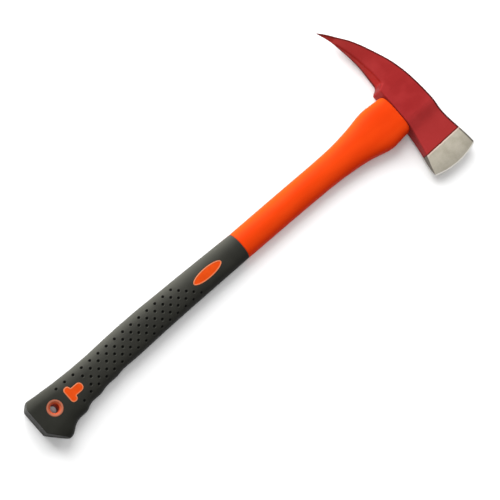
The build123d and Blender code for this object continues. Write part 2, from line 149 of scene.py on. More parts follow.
def mark(o, key, pts, values):
    """Stores a value on each of o's points: that of the nearest of pts, which are in millimetres."""
    pts, values = np.asarray(pts, float), np.asarray(values, float)
    keep = np.nonzero(values > 0.001)[0]
    tree = KDTree(len(keep))
    for i in keep:
        x, y, z = pts[i]
        tree.insert(((x - MID_X) / 1000, (y - MID_Y) / 1000, (z + HALF_T) / 1000), int(i))
    tree.balance()
    out = np.zeros(len(o.data.vertices), np.float32)
    for k, v in enumerate(o.data.vertices):
        _, i, far = tree.find(v.co)
        if far < 1e-4:
            out[k] = values[i]
    o.data.attributes.new(key, "FLOAT", "POINT").data.foreach_set("value", out)


def fix(o, sharp=35.0):
    """Outward normals, smooth shading, and hard edges where faces meet sharply."""
    bm = bmesh.new()
    bm.from_mesh(o.data)
    bmesh.ops.remove_doubles(bm, verts=bm.verts, dist=1e-7)
    bmesh.ops.dissolve_degenerate(bm, edges=bm.edges, dist=1e-8)
    bmesh.ops.recalc_face_normals(bm, faces=bm.faces)
    limit = math.radians(sharp)
    for f in bm.faces:
        f.smooth = True
    for e in bm.edges:
        e.smooth = len(e.link_faces) == 2 and e.calc_face_angle(0) < limit
    bm.to_mesh(o.data)
    bm.free()
    o.data.update()


def dress(o, replaces, slot, material):
    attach(o, "root")
    if replaces:
        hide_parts(*replaces)
    o.data.materials.clear()
    o.data.materials.append(material)


def cut(o, cutters, sharp=35.0):
    """Takes the cutters out of o and removes them."""
    for c in cutters:
        m = o.modifiers.new("cut", "BOOLEAN")
        m.operation = "DIFFERENCE"
        m.solver = "MANIFOLD"
        m.object = c
    bpy.context.view_layer.update()
    graph = bpy.context.evaluated_depsgraph_get()
    me = bpy.data.meshes.new_from_object(o.evaluated_get(graph))
    o.modifiers.clear()
    old = o.data
    o.data = me
    bpy.data.meshes.remove(old)
    for c in cutters:
        bpy.data.objects.remove(c)
    fix(o, sharp)


def tube_faces(rows, cols, close=True):
    """Quads between rows of cols points each."""
    faces = []
    n = cols if close else cols - 1
    for i in range(rows - 1):
        a, b = i * cols, (i + 1) * cols
        for j in range(n):
            k = (j + 1) % cols
            faces.append((a + j, a + k, b + k, b + j))
    return faces


def prism(name, outline, z0, z1):
    """A closed prism on a tool outline, as a cutter."""
    n = len(outline)
    v = [(x, y, z0) for x, y in outline] + [(x, y, z1) for x, y in outline]
    f = [tuple(range(n))[::-1], tuple(range(n, 2 * n))]
    f += [(i, (i + 1) % n, n + (i + 1) % n, n + i) for i in range(n)]
    return put(name, v, f, replaces=None)


def rounded_rect(cx, cy, lx, ly, r, step=10):
    """Points round a rectangle with rounded corners, counter-clockwise."""
    pts = []
    for sx, sy, a0 in ((1, 1, 0), (-1, 1, 90), (-1, -1, 180), (1, -1, 270)):
        for k in range(step + 1):
            a = math.radians(a0 + 90 * k / step)
            pts.append((cx + sx * (lx / 2 - r) + r * math.cos(a), cy + sy * (ly / 2 - r) + r * math.sin(a)))
    return pts


def slot_loop(cy, a, b, count):
    """A slot with round ends in the y, z plane, with count points."""
    pts = []
    straight, arc = 2 * (a - b), math.pi * b
    total = 2 * (straight + arc)
    for k in range(count):
        s = total * k / count
        if s < arc / 2:
            t = s / b
            pts.append((cy + a - b + b * math.cos(t), b * math.sin(t)))
        elif s < arc / 2 + straight:
            pts.append((cy + a - b - (s - arc / 2), b))
        elif s < 1.5 * arc + straight:
            t = math.pi / 2 + (s - arc / 2 - straight) / b
            pts.append((cy - (a - b) + b * math.cos(t), b * math.sin(t)))
        elif s < 1.5 * arc + 2 * straight:
            pts.append((cy - (a - b) + (s - 1.5 * arc - straight), -b))
        else:
            t = 1.5 * math.pi + (s - 1.5 * arc - 2 * straight) / b
            pts.append((cy + a - b + b * math.cos(t), b * math.sin(t)))
    return pts


def offset_loop(pts, w):
    """The closed outline pts (counter-clockwise) moved inwards by w."""
    p = np.array(pts, float)
    t = np.roll(p, -1, 0) - np.roll(p, 1, 0)
    t /= np.linalg.norm(t, axis=1)[:, None]
    n = np.stack([-t[:, 1], t[:, 0]], 1)
    return p + n * w


# -------------------------------------------------------- handle's sections
QUARTER = 72


def sections(xs, edge, inset=None, quarter=QUARTER, flat=None, narrow=0.0):
    """Rows of points round the handle at each x, evenly spaced in each quarter.
    inset draws each section in by so many millimetres, and narrow its two edges only."""
    xs = np.asarray(xs, float)
    up, lo = cubic(edge, xs, 1), cubic(edge, xs, 2)
    half, p, cr = cubic(SECTION, xs, 1), cubic(SECTION, xs, 2), cubic(CREST, xs, 1)
    if inset is not None:
        up, lo, half = up - inset - narrow, lo + inset + narrow, half - inset
    a = np.linspace(0, math.pi / 2, 541)
    s, c = np.sin(a)[None], np.cos(a)[None]
    r = (s ** p[:, None] + c ** p[:, None]) ** (-1 / p[:, None])
    quarters = []
    for reach, sign in ((up - cr, 1), (cr - lo, -1)):
        y = cr[:, None] + sign * reach[:, None] * r * s
        z = half[:, None] * r * c
        if flat:
            z = soft_min(z, flat, 0.7)
        length = np.concatenate(
            [np.zeros((len(xs), 1)), np.cumsum(np.hypot(np.diff(y, axis=1), np.diff(z, axis=1)), axis=1)], axis=1
        )
        f = np.linspace(0, 1, quarter + 1)
        ys = np.array([np.interp(f * length[i, -1], length[i], y[i]) for i in range(len(xs))])
        zs = np.array([np.interp(f * length[i, -1], length[i], z[i]) for i in range(len(xs))])
        quarters.append((ys, zs))
    (yu, zu), (yl, zl) = quarters
    y = np.concatenate([yu[:, :-1], yu[:, :0:-1], yl[:, :-1], yl[:, :0:-1]], axis=1)
    z = np.concatenate([zu[:, :-1], -zu[:, :0:-1], -zl[:, :-1], zl[:, :0:-1]], axis=1)
    return np.stack([np.repeat(xs[:, None], y.shape[1], 1), y, z], 2)


def surface_z(x, y, edge):
    """Height of the handle's side over the middle plane."""
    up, lo = cubic(edge, x, 1), cubic(edge, x, 2)
    half, p, cr = cubic(SECTION, x, 1), cubic(SECTION, x, 2), cubic(CREST, x, 1)
    q = np.where(y > cr, (y - cr) / (up - cr), (cr - y) / (cr - lo))
    return soft_min(half * np.maximum(1 - np.clip(np.abs(q), 0, 1) ** p, 0) ** (1 / p), HALF_T, 0.7)


# ----------------------------------------------------------------- materials
class Nodes:
    """Small helper round a material's node tree."""

    def __init__(self, name):
        self.mat = bpy.data.materials.new(name)
        self.mat.use_nodes = True
        self.tree = self.mat.node_tree
        self.shader = self.tree.nodes["Principled BSDF"]

    def add(self, kind, **props):
        n = self.tree.nodes.new(kind)
        for k, v in props.items():
            if k.startswith("in_"):
                key = k[3:].replace("_", " ").title() if k[3:] not in ("From", "To") else k[3:]
                n.inputs[key].default_value = v
            else:
                setattr(n, k, v)
        return n

    def link(self, a, b):
        self.tree.links.new(a, b)

    def coords(self):
        return self.add("ShaderNodeTexCoord").outputs["Object"]

    def scaled(self, vec, scale):
        m = self.add("ShaderNodeMapping")
        m.inputs["Scale"].default_value = scale
        self.link(vec, m.inputs["Vector"])
        return m.outputs["Vector"]

    def noise(self, vec, scale, detail=4.0, rough=0.5, distortion=0.0):
        n = self.add("ShaderNodeTexNoise")
        n.inputs["Scale"].default_value = scale
        n.inputs["Detail"].default_value = detail
        n.inputs["Roughness"].default_value = rough
        n.inputs["Distortion"].default_value = distortion
        self.link(vec, n.inputs["Vector"])
        return n.outputs["Fac"]

    def remap(self, value, a, b, c, d, clamp=True, kind="SMOOTHSTEP"):
        n = self.add("ShaderNodeMapRange")
        n.interpolation_type = kind
        n.clamp = clamp
        for k, v in (("From Min", a), ("From Max", b), ("To Min", c), ("To Max", d)):
            n.inputs[k].default_value = v
        self.link(value, n.inputs["Value"])
        return n.outputs["Result"]

    def math(self, op, a, b=None, clamp=False):
        n = self.add("ShaderNodeMath")
        n.operation = op
        n.use_clamp = clamp
        for i, v in enumerate((a, b)):
            if v is None:
                continue
            if isinstance(v, (int, float)):
                n.inputs[i].default_value = v
            else:
                self.link(v, n.inputs[i])
        return n.outputs[0]

    def mix(self, fac, a, b):
        n = self.add("ShaderNodeMix")
        n.data_type = "RGBA"
        for sock, v in ((n.inputs[0], fac), (n.inputs[6], a), (n.inputs[7], b)):
            if isinstance(v, tuple):
                sock.default_value = (*v, 1)
            elif isinstance(v, (int, float)):
                sock.default_value = v
            else:
                self.link(v, sock)
        return n.outputs[2]

    def value(self, name):
        """A value stored on the mesh's points."""
        n = self.add("ShaderNodeAttribute")
        n.attribute_name = name
        return n.outputs["Fac"]

    def bump(self, height, distance, strength=1.0, normal=None):
        n = self.add("ShaderNodeBump")
        n.inputs["Distance"].default_value = distance
        n.inputs["Strength"].default_value = strength
        self.link(height, n.inputs["Height"])
        if normal is not None:
            self.link(normal, n.inputs["Normal"])
        return n.outputs["Normal"]

    def set(self, **values):
        for k, v in values.items():
            sock = self.shader.inputs[k.replace("_", " ")]
            if isinstance(v, tuple):
                sock.default_value = (*v, 1)
            elif isinstance(v, (int, float)):
                sock.default_value = v
            else:
                self.link(v, sock)


made = {}


def once(make):
    """Each material is made a single time."""
    def get():
        if make.__name__ not in made:
            made[make.__name__] = make()
        return made[make.__name__]
    return get


@once
def material_rubber():
    m = Nodes("black_rubber")
    c = m.coords()
    broad = m.noise(c, 28.0, 3.0)
    fine = m.noise(c, 1500.0, 3.0, 0.6)
    grain = m.noise(c, 4200.0, 2.0, 0.5)
    base = m.mix(m.remap(broad, 0.35, 0.65, 0.0, 1.0), (0.0190, 0.0190, 0.0158), (0.0255, 0.0255, 0.0212))
    # painted highlight: lighter on the faces turned toward the upper edge, where the light falls
    wall = m.add("ShaderNodeSeparateXYZ")
    m.link(m.add("ShaderNodeNewGeometry").outputs["Normal"], wall.inputs[0])
    painted_top_light = m.math("MULTIPLY", m.remap(wall.outputs[1], -0.10, 1.05, 0.0, 1.0), m.remap(fine, 0.3, 0.7, 0.85, 1.0))
    base = m.mix(m.math("MULTIPLY", painted_top_light, 0.90), base, (0.080, 0.0796, 0.0665))
    # painted shade: darker on the faces turned toward the lower edge
    base = m.mix(m.remap(wall.outputs[1], -0.25, -0.95, 0.0, 0.85), base, (0.0095, 0.0095, 0.0078))
    # darker toward the butt
    along = m.add("ShaderNodeSeparateXYZ")
    m.link(c, along.inputs[0])
    base = m.mix(m.remap(along.outputs[0], -0.225, -0.290, 0.0, 0.42), base, (0.0090, 0.0095, 0.0070))
    # rubbed and dusty on raised edges
    edge = m.add("ShaderNodeNewGeometry").outputs["Pointiness"]
    worn = m.math("MULTIPLY", m.remap(edge, 0.52, 0.60, 0.0, 1.0), m.remap(fine, 0.40, 0.62, 0.25, 1.0))
    base = m.mix(m.math("MULTIPLY", worn, 0.35), base, (0.12, 0.12, 0.115))
    # painted shade at the bottom of the dimples
    base = m.mix(m.math("MULTIPLY", m.value("pit"), 0.92), base, (0.0015, 0.0015, 0.0013))
    rough = m.remap(m.noise(c, 90.0, 4.0), 0.3, 0.7, 0.50, 0.62)
    n1 = m.bump(fine, 0.00012, 0.5)
    n2 = m.bump(grain, 0.00006, 0.5, n1)
    m.set(Base_Color=base, Roughness=rough, Normal=n2)
    m.shader.inputs["Specular IOR Level"].default_value = 0.05
    m.shader.inputs["Sheen Weight"].default_value = 0.04
    m.shader.inputs["Sheen Roughness"].default_value = 0.45
    return m.mat


@once
def material_jacket():
    m = Nodes("orange_moulding")
    c = m.coords()
    broad = m.noise(m.scaled(c, (6.0, 20.0, 20.0)), 2.0, 3.0)
    base = m.mix(m.remap(broad, 0.35, 0.65, 0.0, 1.0), (0.57, 0.036, 0.0022), (0.61, 0.044, 0.0032))
    speck = m.noise(c, 900.0, 3.0, 0.6)
    base = m.mix(m.remap(speck, 0.68, 0.80, 0.0, 0.25), base, (0.50, 0.025, 0.003))
    # painted highlight: paler toward the upper edge; painted shade: deeper red toward the lower one
    wall = m.add("ShaderNodeSeparateXYZ")
    m.link(m.add("ShaderNodeNewGeometry").outputs["Normal"], wall.inputs[0])
    base = m.mix(m.remap(wall.outputs[1], 0.10, 0.85, 0.0, 0.75), base, (0.52, 0.078, 0.008))
    base = m.mix(m.remap(wall.outputs[1], -0.10, -0.90, 0.0, 0.70), base, (0.52, 0.016, 0.0015))
    # light rub marks along the handle
    rub = m.noise(m.scaled(c, (30.0, 900.0, 900.0)), 1.0, 4.0, 0.55)
    rough = m.math("ADD", m.remap(m.noise(c, 60.0, 4.0), 0.3, 0.7, 0.34, 0.44), m.remap(rub, 0.62, 0.72, 0.0, 0.08))
    skin = m.noise(c, 700.0, 4.0, 0.55)
    n1 = m.bump(skin, 0.00010, 0.35)
    n2 = m.bump(rub, 0.00003, 0.3, n1)
    m.set(Base_Color=base, Roughness=rough, Normal=n2)
    m.shader.inputs["Specular IOR Level"].default_value = 0.03
    return m.mat


@once
def material_trim():
    m = Nodes("orange_inlay")
    c = m.coords()
    broad = m.noise(c, 160.0, 3.0)
    base = m.mix(m.remap(broad, 0.35, 0.65, 0.0, 1.0), (0.49, 0.047, 0.0038), (0.53, 0.055, 0.0050))
    # painted highlight: the raised rims are pale, a little uneven
    rub = m.noise(c, 520.0, 4.0, 0.6)
    rim = m.math("MULTIPLY", m.value("rim"), m.remap(rub, 0.25, 0.60, 0.70, 1.0))
    base = m.mix(rim, base, (0.52, 0.165, 0.075))
    # the ring's top faces are paler and duller: dust and a painted highlight
    dust_and_highlight = m.math("MULTIPLY", m.value("dull"), m.remap(rub, 0.25, 0.60, 0.75, 1.0))
    base = m.mix(dust_and_highlight, base, (0.315, 0.110, 0.066))
    skin = m.noise(c, 1100.0, 3.0, 0.5)
    rough = m.remap(m.noise(c, 300.0, 4.0), 0.3, 0.7, 0.36, 0.48)
    m.set(Base_Color=base, Roughness=rough, Normal=m.bump(skin, 0.00008, 0.35))
    m.shader.inputs["Specular IOR Level"].default_value = 0.03
    return m.mat


@once
def material_head():
    """Red paint over the forging, with the bit ground bare past a line."""
    m = Nodes("painted_and_ground_steel")
    c = m.coords()
    sep = m.add("ShaderNodeSeparateXYZ")
    m.link(c, sep.inputs[0])
    x, y = sep.outputs[0], sep.outputs[1]
    # signed distance past the paint's edge, in metres, with a slightly uneven line
    wave = m.remap(m.noise(m.scaled(c, (220.0, 30.0, 220.0)), 1.0, 4.0, 0.6), 0.2, 0.8, -0.00035, 0.00035, kind="LINEAR")
    line = m.math("ADD", m.math("MULTIPLY", m.math("SUBTRACT", x, 0.24392), 0.01100), -0.08150)
    past = m.math("ADD", m.math("SUBTRACT", line, y), wave)
    bare = m.remap(past, -0.00005, 0.00005, 0.0, 1.0, kind="LINEAR")
    # paint
    cloud = m.noise(c, 45.0, 4.0)
    paint = m.mix(m.remap(cloud, 0.35, 0.65, 0.0, 1.0), (0.245, 0.0160, 0.0165), (0.280, 0.0205, 0.0210))
    edge = m.add("ShaderNodeNewGeometry").outputs["Pointiness"]
    chip = m.noise(c, 650.0, 4.0, 0.6)
    paint = m.mix(m.math("MULTIPLY", m.remap(edge, 0.53, 0.60, 0.0, 1.0), m.remap(chip, 0.45, 0.62, 0.0, 0.45)), paint, (0.50, 0.10, 0.10))
    # painted shade on the walls, most toward the blade
    wall = m.add("ShaderNodeSeparateXYZ")
    m.link(m.add("ShaderNodeNewGeometry").outputs["Normal"], wall.inputs[0])
    steep = m.remap(m.math("ABSOLUTE", wall.outputs[2]), 0.25, 0.80, 1.0, 0.0)
    paint = m.mix(m.math("MULTIPLY", steep, m.remap(y, -0.012, 0.020, 0.35, 0.0)), paint, (0.110, 0.007, 0.006))
    # painted light on the pick's underside
    under = m.math("MULTIPLY", m.remap(wall.outputs[0], -0.72, -0.97, 0.0, 1.0), m.remap(y, 0.004, 0.024, 0.0, 0.85))
    paint = m.mix(under, paint, (0.420, 0.0110, 0.0060))
    # painted shade on faces turned toward the pick, such as the lug's ledge
    paint = m.mix(m.remap(wall.outputs[1], 0.45, 0.85, 0.0, 0.50), paint, (0.170, 0.006, 0.005))
    # painted light: lighter toward the bit, where the blade's faces slope away from the light
    paint = m.mix(m.remap(y, -0.020, -0.060, 0.0, 0.55), paint, (0.325, 0.0300, 0.0290))
    # painted shade: a dark line along the outline's arrises
    paint = m.mix(m.math("MULTIPLY", m.value("arris"), m.remap(chip, 0.25, 0.6, 0.95, 0.80)), paint, (0.022, 0.004, 0.004))
    # darker toward the pick's point
    far = m.math("MULTIPLY", m.remap(y, -0.004, 0.100, 0.0, 1.0, kind="LINEAR"), m.remap(cloud, 0.3, 0.7, 0.85, 1.0))
    paint = m.mix(m.math("MULTIPLY", far, 0.68), paint, (0.105, 0.0062, 0.0035))
    peel = m.noise(c, 330.0, 3.0, 0.45)
    # ground steel
    grind = m.noise(m.scaled(c, (260.0, 5200.0, 5200.0)), 1.0, 4.0, 0.6)
    blotch = m.noise(c, 85.0, 5.0, 0.6)
    steel = m.mix(m.remap(blotch, 0.3, 0.7, 0.0, 1.0), (0.40, 0.367, 0.295), (0.50, 0.462, 0.382))
    steel = m.mix(m.remap(grind, 0.35, 0.75, 0.0, 0.45), steel, (0.36, 0.325, 0.26))
    # painted shade on the bit's walls and along its arrises
    steel = m.mix(m.math("MULTIPLY", m.math("MAXIMUM", steep, m.value("arris")), 0.85), steel, (0.085, 0.074, 0.062))
    # the honed strip along the cutting edge, measured from the centre of its curve
    dx = m.math("SUBTRACT", x, (EDGE_CX - MID_X) / 1000)
    dy = m.math("SUBTRACT", y, (EDGE_CY - MID_Y) / 1000)
    out = m.math("SQRT", m.math("ADD", m.math("MULTIPLY", dx, dx), m.math("MULTIPLY", dy, dy)))
    honed = m.remap(m.math("ADD", out, m.math("MULTIPLY", wave, 0.5)), EDGE_R / 1000 - 0.0019, EDGE_R / 1000 - 0.0012, 0.0, 1.0)
    steel = m.mix(m.math("MULTIPLY", honed, 0.75), steel, (0.86, 0.84, 0.79))
    base = m.mix(bare, paint, steel)
    # a thin dark line on the paint's edge, and a painted highlight on the steel just past it
    lip = m.math("MULTIPLY", m.remap(past, -0.0019, -0.0007, 0.0, 1.0), m.math("SUBTRACT", 1.0, bare))
    base = m.mix(m.math("MULTIPLY", lip, 0.80), base, (0.040, 0.003, 0.003))
    shelf = m.math("MULTIPLY", m.remap(past, 0.0022, 0.0006, 0.0, 1.0), bare)
    base = m.mix(m.math("MULTIPLY", m.math("MULTIPLY", shelf, 0.60), m.math("SUBTRACT", 1.0, steep)), base, (0.86, 0.66, 0.57))
    rough = m.mix(bare, m.remap(cloud, 0.3, 0.7, 0.30, 0.38), m.remap(grind, 0.3, 0.7, 0.38, 0.55))
    metal = m.math("MULTIPLY", bare, 0.30)
    n1 = m.bump(m.math("SUBTRACT", 1.0, bare), 0.00012, 0.8)
    n2 = m.bump(m.math("MULTIPLY", peel, m.math("SUBTRACT", 1.0, bare)), 0.00030, 0.35, n1)
    n3 = m.bump(m.math("MULTIPLY", grind, bare), 0.00010, 0.6, n2)
    m.set(Base_Color=base, Roughness=rough, Metallic=metal, Normal=n3)
    m.shader.inputs["Specular IOR Level"].default_value = 0.03
    return m.mat


@once
def material_resin():
    m = Nodes("cured_resin")
    c = m.coords()
    cloud = m.noise(c, 120.0, 4.0)
    base = m.mix(m.remap(cloud, 0.3, 0.7, 0.0, 1.0), (0.26, 0.17, 0.07), (0.36, 0.25, 0.11))
    n1 = m.bump(m.noise(c, 260.0, 3.0), 0.00025, 0.5)
    m.set(Base_Color=base, Roughness=m.remap(cloud, 0.3, 0.7, 0.16, 0.26), Normal=n1)
    return m.mat


@once
def material_seal():
    m = Nodes("soft_seal")
    c = m.coords()
    cloud = m.noise(c, 200.0, 4.0)
    base = m.mix(m.remap(cloud, 0.3, 0.7, 0.0, 1.0), (0.020, 0.020, 0.020), (0.035, 0.035, 0.034))
    m.set(Base_Color=base, Roughness=m.remap(cloud, 0.3, 0.7, 0.6, 0.75), Normal=m.bump(m.noise(c, 2500.0, 3.0), 0.0001, 0.4))
    return m.mat


@once
def material_core():
    m = Nodes("pultruded_glass")
    c = m.coords()
    fibre = m.noise(m.scaled(c, (25.0, 2600.0, 2600.0)), 1.0, 5.0, 0.6)
    base = m.mix(m.remap(fibre, 0.3, 0.7, 0.0, 1.0), (0.45, 0.41, 0.28), (0.66, 0.62, 0.48))
    m.set(Base_Color=base, Roughness=m.remap(fibre, 0.3, 0.7, 0.35, 0.5), Normal=m.bump(fibre, 0.0001, 0.4))
    return m.mat


# --------------------------------------------------------------- rubber grip
def dimple_rows():
    """Centres of the dimples on one face, as x, y."""
    rows = (
        (38.4, 12.02, 15, ((38.0, 13.1), (86.0, 12.7), (150.0, 13.0), (210.0, 13.3))),
        (69.0, 11.95, 13, ((68.0, 4.95), (81.0, 5.75), (93.0, 6.3), (130.0, 6.45), (214.0, 6.75))),
        (75.6, 11.91, 13, ((74.0, -1.3), (87.6, -0.6), (99.6, 0.1), (112.0, 0.4), (220.0, 0.7))),
        (70.2, 11.87, 14, ((70.0, -7.55), (82.0, -6.95), (94.0, -6.45), (106.0, -5.85), (118.0, -5.45), (226.0, -5.2))),
        (53.4, 11.85, 16, ((53.4, -16.1), (65.0, -13.6), (77.0, -13.0), (89.0, -12.4), (100.4, -11.9), (112.0, -11.5), (232.0, -11.3))),
    )
    out = []
    for x0, pitch, count, line in rows:
        for k in range(count):
            x = x0 + pitch * k
            out.append((x, float(cubic(line, x))))
    return out


def rubber():
    step = 0.45
    xs = np.concatenate([np.arange(-6.0, GRIP_END - 1.3, step), [301.9, 302.15, 302.38, 302.58, 302.74, 302.86, 302.94, 302.98, GRIP_END]])
    inset = np.zeros(len(xs))
    inset[-9:] = (0.0, 0.02, 0.07, 0.15, 0.26, 0.40, 0.56, 0.72, 0.95)
    g = sections(xs, GRIP_EDGE, inset, flat=HALF_T)
    rows, cols, _ = g.shape

    # dimples: the grid is drawn to each rim, then pushed in
    base = g.copy()
    dx = np.gradient(base, axis=0)
    dy = np.roll(base, -1, 1) - np.roll(base, 1, 1)
    normal = np.cross(dy, dx)
    normal /= np.linalg.norm(normal, axis=2)[..., None]
    outward = np.sign((normal * (base - np.array([0, 0, 0]) * 1.0)).sum(2).mean())
    normal *= outward
    radius, deepest = 1.95, 1.75

    def room(y, z, ny, nz):
        """Rubber left under a point of the side, inwards to the sleeve's bore."""
        s = np.linspace(0, 6, 241)
        py, pz = abs(y - ny * s - 0.5), abs(z - nz * s)
        over = np.hypot(np.maximum(py - 8.0, 0), np.maximum(pz - 3.25, 0)) - 6.1
        hit = np.nonzero(over < 0)[0]
        return float(s[hit[0]]) if len(hit) else 6.0

    pit = np.zeros(g.shape[:2])
    for x, y in dimple_rows():
        for side in (1, -1):
            z = float(surface_z(np.array(x), np.array(y), GRIP_EDGE)) * side
            c = np.array([x, y, z])
            i0, i1 = np.searchsorted(xs, x - 3.2), np.searchsorted(xs, x + 3.2)
            block = base[i0:i1]
            d = block - c
            r = np.linalg.norm(d, axis=2)
            near = (r < 3.0) & (block[..., 2] * side > 0)
            k = np.unravel_index(np.argmin(np.where(near, r, 99)), r.shape)
            n = normal[i0:i1][k]
            depth = deepest if x < 34 else min(deepest, room(y, z, n[1], n[2]) - 0.5)
            tangent = d - (d * n[None, None]).sum(2)[..., None] * n
            # draw the nearest points to the rim
            snap = near & (np.abs(r - radius) < 0.27)
            scale = np.where(snap, radius / np.maximum(r, 1e-6), 1.0)
            inner = near & (np.abs(r - 0.55 * radius) < 0.2)
            scale = np.where(inner, 0.55 * radius / np.maximum(r, 1e-6), scale)
            moved = g[i0:i1] + tangent * (scale - 1)[..., None]
            r2 = np.where(snap, radius, np.where(inner, 0.55 * radius, r))
            q = r2 / radius
            push = np.where(near, depth * (1 - smooth((q - 0.30) / 0.70)) + 0.08 * np.clip(1 - q / 0.45, 0, 1), 0)
            lip = np.where(near & (q >= 1), 0.13 * np.exp(-(((q - 1.20) / 0.16) ** 2)), 0)
            g[i0:i1] = np.where(near[..., None], moved - n * (push - lip)[..., None], g[i0:i1])
            pit[i0:i1] = np.maximum(pit[i0:i1], np.where(near, 1 - smooth((q - 0.62) / 0.38), 0))

    # the flats stay at the full thickness, lips and all
    g[..., 2] = np.clip(g[..., 2], -HALF_T, HALF_T)

    # soft parting line of the mould along both edges
    half_y = QUARTER
    for col in (QUARTER, 3 * QUARTER):
        for off, h in ((0, 0.10), (1, 0.03), (-1, 0.03)):
            g[:, (col + off) % cols] += normal[:, (col + off) % cols] * h * smooth((xs - 22) / 6)[:, None] * smooth((300 - xs) / 2)[:, None]

    # rings that close the butt
    first = g[0]
    centre = np.array([-6.0, 0.0, 0.0])
    centre[1] = 0.5 * (first[:, 1].max() + first[:, 1].min())
    ring_count = 34
    rings = [centre + (first - centre) * s for s in np.linspace(1, 0, ring_count + 1)[1:-1]]
    cap = np.array(rings[::-1])
    verts = np.concatenate([cap.reshape(-1, 3), g.reshape(-1, 3)])
    faces = tube_faces(len(cap) + rows, cols)
    verts = np.concatenate([verts, [centre], [[GRIP_END, 0.5, 0.0]]])
    n = len(verts)
    faces += [(n - 2, (j + 1) % cols, j) for j in range(cols)]
    last = (len(cap) + rows - 1) * cols
    faces += [(n - 1, last + j, last + (j + 1) % cols) for j in range(cols)]

    # planes that cut the butt: each point is drawn towards an inner point until it is inside
    core = np.array([34.0, -4.0, 0.0])
    ray = verts - core
    t = np.ones(len(verts))
    length = np.linalg.norm(ray, axis=1)
    for nx, ny, d in BUTT_PLANES:
        nrm = np.array([nx, ny, 0.0])
        along = ray @ nrm
        limit = (d - core @ nrm) / np.where(along > 1e-6, along, 1e-6)
        limit = np.where(along > 1e-6, np.minimum(limit, 9), 9)
        t = soft_min(t, limit, 0.95 / np.maximum(length, 1))
    far = ray[:, 0] > 4
    t = np.where(far, 1, t)
    verts = core + ray * t[:, None]

    o = put("rubber_grip_moulded", verts, faces, replaces=None)
    cutters = []
    sleeve = rounded_rect(0.5, 0.0, 28.2, 18.7, 6.1, 8)
    m = len(sleeve)
    v = [(35.9, y, z) for y, z in sleeve] + [(305.0, y, z) for y, z in sleeve]
    f = [tuple(range(m))[::-1], tuple(range(m, 2 * m))] + [(i, (i + 1) % m, m + (i + 1) % m, m + i) for i in range(m)]
    cutters.append(put("cut_sleeve", v, f, replaces=None))
    cutters.append(revolved("cut_bush", [(9.33, -15.0), (9.33, -11.15), (6.75, -11.15), (6.75, 11.15), (9.33, 11.15), (9.33, 15.0)], 96, closed=True))
    for side in (1, -1):
        for name, outline in (("oval", oval_outline(160)), ("tee", tee_outline(10))):
            wide = offset_loop(outline, -0.12)
            z0, z1 = (8.0, 16.0) if side > 0 else (-16.0, -8.0)
            cutters.append(prism(f"cut_{name}_{side}", [tuple(p) for p in wide], z0, z1))
    cut(o, cutters, sharp=42.0)
    skip = len(cap) * cols
    mark(o, "pit", verts[skip:-2], pit.reshape(-1))
    dress(o, ("rubber_grip",), "grip_rubber", material_rubber())
    return o


def revolved(name, profile, count, closed=False, centre=(24.0, -1.2), **dressing):
    """A body of revolution round the hanging hole, from r, z points. closed adds its end discs."""
    v, f = [], []
    n = len(profile)
    marks = {"rim": np.zeros(n * count), "dull": np.tile([(1.0 if r > 7.05 else 0.55 if r > 5.4 else 0.0) if abs(z) > 11.6 else 0.0 for r, z in profile], count)}
    for k in range(count):
        a = 2 * math.pi * k / count
        for r, z in profile:
            v.append((centre[0] + r * math.cos(a), centre[1] + r * math.sin(a), z))
    for k in range(count):
        a, b = k * n, ((k + 1) % count) * n
        last = n - 1 if closed else n
        for i in range(last):
            j = (i + 1) % n
            f.append((a + i, b + i, b + j, a + j))
    if closed:
        f.append(tuple(k * n for k in range(count)))
        f.append(tuple(k * n + n - 1 for k in range(count))[::-1])
    return put(name, v, f, replaces=dressing.get("replaces"), slot=dressing.get("slot"), material=dressing.get("material"),
               sharp=dressing.get("sharp", 35.0), marks=marks)


def oval_outline(count):
    a = np.linspace(0, 2 * math.pi, 4001)
    x, y = OVAL_A * np.cos(a), OVAL_B * np.sin(a)
    s = np.concatenate([[0], np.cumsum(np.hypot(np.diff(x), np.diff(y)))])
    t = np.interp(np.linspace(0, s[-1], count + 1)[:-1], s, a)
    return np.stack([OVAL_X + OVAL_A * np.cos(t), OVAL_Y + OVAL_B * np.sin(t)], 1)


def tee_outline(step):
    """The T's outline, counter-clockwise, with the inner corners eased."""
    x0, x1, x2 = T_X0, T_X0 + T_BAR, T_STEM_END
    yb, ys = T_BAR_LONG / 2, T_STEM_WIDE / 2
    corners = [
        (x0, -yb, 3.8), (x1, -yb, 3.3), (x1, -ys, 0.9), (x2, -ys, 4.8), (x2, ys, 4.8), (x1, ys, 0.9), (x1, yb, 3.3), (x0, yb, 3.8),
    ]
    pts = []
    n = len(corners)
    for i in range(n):
        p = np.array(corners[i][:2])
        a = np.array(corners[i - 1][:2]) - p
        b = np.array(corners[(i + 1) % n][:2]) - p
        la, lb = np.linalg.norm(a), np.linalg.norm(b)
        a, b = a / la, b / lb
        r = corners[i][2]
        s, e = p + a * r, p + b * r
        c = p + (a + b) * r
        a0 = math.atan2(*(s - c)[::-1])
        a1 = math.atan2(*(e - c)[::-1])
        d = (a1 - a0 + math.pi) % (2 * math.pi) - math.pi
        for k in range(step + 1):
            t = a0 + d * k / step
            pts.append(c + r * np.array([math.cos(t), math.sin(t)]))
    # even out the spacing
    p = np.array(pts)
    q = np.vstack([p, p[:1]])
    s = np.concatenate([[0], np.cumsum(np.linalg.norm(np.diff(q, axis=0), axis=1))])
    keep = np.concatenate([[True], np.diff(s) > 1e-4])
    q, s = q[keep], s[keep]
    u = np.linspace(0, s[-1], 20 * step + 1)[:-1]
    out = np.stack([np.interp(u, s, q[:, 0]), np.interp(u, s, q[:, 1])], 1)
    out[:, 1] += T_Y
    return out


